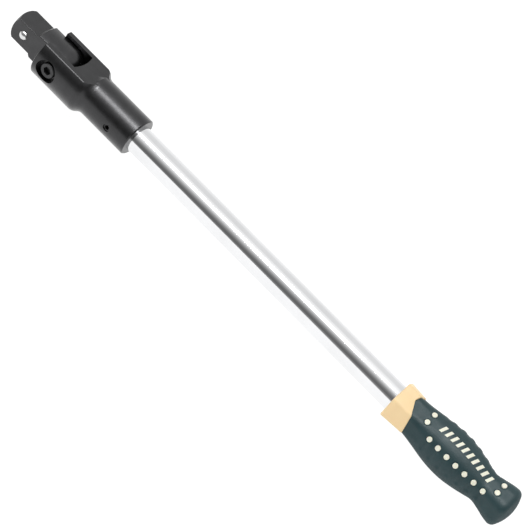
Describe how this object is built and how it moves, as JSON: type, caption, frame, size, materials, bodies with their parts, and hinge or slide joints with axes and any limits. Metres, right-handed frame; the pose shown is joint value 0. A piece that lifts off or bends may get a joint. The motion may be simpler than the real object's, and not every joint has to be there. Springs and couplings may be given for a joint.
{
  "type": "flex-head breaker bar",
  "caption": "Breaker bar with a 3/4 inch square drive on a flexing forked head, a solid chrome bar and a two-material grip.",
  "frame": {"origin": "centre of the end face of the square drive, with the head in line with the bar", "axes": "+X runs along the bar from the drive to the grip, Y is the pivot's axis with the screw's head at -Y, and +Z is normal to the fork's flats"},
  "size_m": [0.5, 0.0408, 0.0368],
  "materials": {
    "dark_steel": "satin black phosphate over forged steel",
    "polished_steel": "polished",
    "spring_steel": "oiled spring steel",
    "screw_steel": "blackened steel",
    "chrome_bar": "polished chrome plate",
    "cream_plastic": "hard moulded plastic",
    "green_rubber": "soft overmoulded elastomer"
  },
  "bodies": {
    "bar": {"fork_head": "dark_steel", "pivot_screw": "screw_steel", "collar_roll_pin": "screw_steel", "shank_bar": "chrome_bar", "grip_core": "cream_plastic", "grip_sleeve": "green_rubber", "friction_spring": "spring_steel"},
    "drive_head": {"drive_tang": "dark_steel", "detent_spring": "spring_steel"},
    "detent": {"detent_ball": "polished_steel"},
    "plunger": {"friction_plunger": "spring_steel"}
  },
  "joints": [
    {"name": "drive_tilt", "type": "hinge", "parent": "bar", "child": "drive_head", "pos_m": [0.0453, 0, 0], "axis": [0, 1, 0], "range_deg": [-90, 90]},
    {"name": "detent_press", "type": "slide", "parent": "drive_head", "child": "detent", "axis": [0, 1, 0], "range_m": [0, 0.0018], "stiffness_N_per_m": 500, "springref_m": -0.002, "deforming": ["detent_spring"]},
    {"name": "plunger_press", "type": "slide", "parent": "bar", "child": "plunger", "axis": [1, 0, 0], "range_m": [0, 0.0008], "stiffness_N_per_m": 1000, "springref_m": -0.002, "deforming": ["friction_spring"]}
  ]
}
